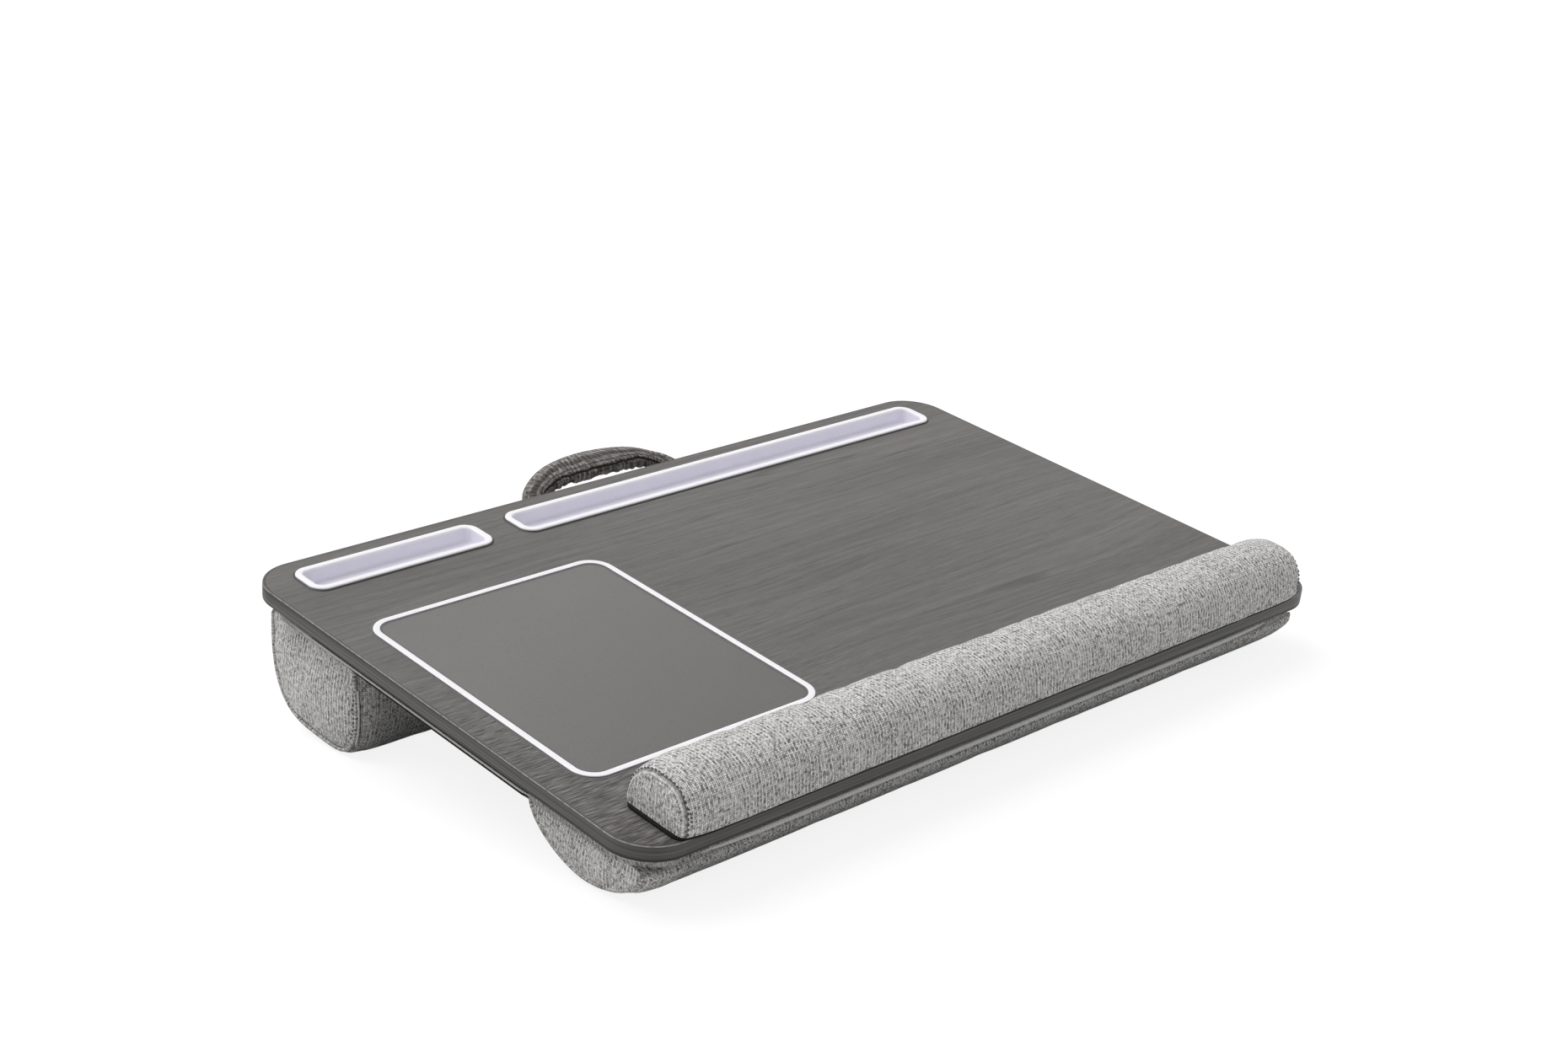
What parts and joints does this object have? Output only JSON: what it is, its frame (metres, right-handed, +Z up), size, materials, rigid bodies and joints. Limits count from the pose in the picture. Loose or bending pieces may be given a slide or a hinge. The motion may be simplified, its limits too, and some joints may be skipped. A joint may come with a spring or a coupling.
{
  "type": "lap desk",
  "caption": "Lap desk: tilted board with slots for a phone and a tablet, mouse pad, padded wrist rest, carrying strap and a bolster cushion below.",
  "frame": {"origin": "centre of the desk's plan at the surface it stands on", "axes": "+X to the right along the front edge, +Y from the wrist rest to the handle, +Z up"},
  "size_m": [0.549, 0.4038, 0.0973],
  "materials": {
    "board_laminate": "matte grey wood-grain laminate over fibreboard",
    "board_edge": "darker grey wood-grain edge band, satin",
    "white_plastic": "moulded white plastic, semi-gloss",
    "pad_leather": "smooth grey synthetic leather, matte",
    "fabric": "light grey melange woven cloth",
    "seam_cloth": "darker grey corded seam in the same cloth",
    "foam": "cream open-cell foam, dull",
    "bead_fill": "white bead filling, dull",
    "stiff_base": "dark thin plastic board, matte",
    "strap": "brown-grey padded cloth strap with stitched ribs",
    "screw_steel": "zinc-plated steel"
  },
  "bodies": {
    "desk": {"base_panel_cover": "fabric", "base_panel_foam": "foam", "desk_board": "board_laminate", "edge_band": "board_edge", "front_bolster_cover": "fabric", "front_bolster_end_left": "fabric", "front_bolster_end_right": "fabric", "front_bolster_fill": "bead_fill", "front_bolster_piping_left": "seam_cloth", "front_bolster_piping_right": "seam_cloth", "handle_screw_left_1": "screw_steel", "handle_screw_left_2": "screw_steel", "handle_screw_right_1": "screw_steel", "handle_screw_right_2": "screw_steel", "handle_tab_left": "strap", "handle_tab_right": "strap", "mouse_pad": "pad_leather", "mouse_pad_trim": "white_plastic", "phone_tray": "white_plastic", "rear_bolster_cover": "fabric", "rear_bolster_end_left": "fabric", "rear_bolster_end_right": "fabric", "rear_bolster_fill": "bead_fill", "rear_bolster_piping_left": "seam_cloth", "rear_bolster_piping_right": "seam_cloth", "tablet_tray": "white_plastic", "wrist_rest_base": "stiff_base", "wrist_rest_cover": "fabric", "wrist_rest_end_left": "fabric", "wrist_rest_end_right": "fabric", "wrist_rest_foam": "foam"},
    "handle": {"handle_sleeve": "strap", "handle_core": "foam"}
  },
  "joints": [
    {"name": "handle_swing", "type": "hinge", "parent": "desk", "child": "handle", "pos_m": [0, 0.16627, 0.08177], "axis": [1, 0, 0], "range_deg": [-75, 65]}
  ]
}
